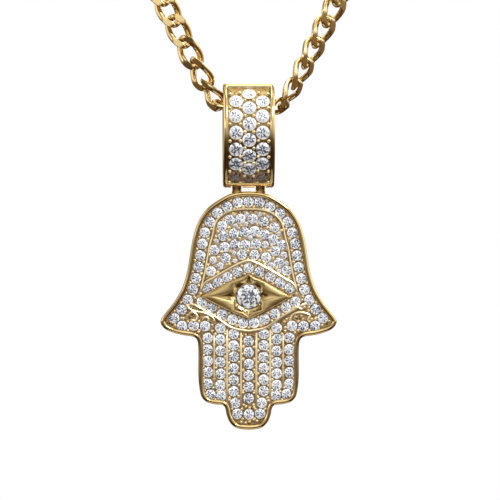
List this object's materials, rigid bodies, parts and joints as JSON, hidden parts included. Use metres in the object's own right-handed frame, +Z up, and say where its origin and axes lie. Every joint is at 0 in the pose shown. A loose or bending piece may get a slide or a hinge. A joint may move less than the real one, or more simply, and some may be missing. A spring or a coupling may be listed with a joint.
{
  "type": "hamsa pendant on chain",
  "caption": "Hamsa hand pendant set with round stones and a raised eye, hung by two lugs from a stone-set ring bail on a closed curb chain.",
  "frame": {"origin": "middle of the clasp at the nape, where the chain rests on the back of the neck", "axes": "+Z up, +X to the viewer's right, -Y to the front, which the pendant faces"},
  "size_m": [0.1196, 0.0875, 0.2002],
  "materials": {
    "gold": "polished yellow gold plating",
    "stone": "clear faceted stone"
  },
  "bodies": {
    "chain": {"chain_left": "gold", "chain_right": "gold", "clasp": "gold"},
    "bail": {"bail_frame": "gold", "bail_stones": "stone"},
    "hamsa": {"hamsa_frame": "gold", "eye_stone": "stone", "rim_stones": "stone", "finger_stones": "stone"}
  },
  "joints": [
    {"name": "bail_swing", "type": "hinge", "parent": "chain", "child": "bail", "pos_m": [-0.00025, -0.07992, -0.15203], "axis": [1, 0, 0], "range_deg": [-20, 20]},
    {"name": "hamsa_swing", "type": "hinge", "parent": "bail", "child": "hamsa", "pos_m": [-0.00025, -0.07992, -0.16193], "axis": [1, 0, 0], "range_deg": [-30, 30]}
  ]
}
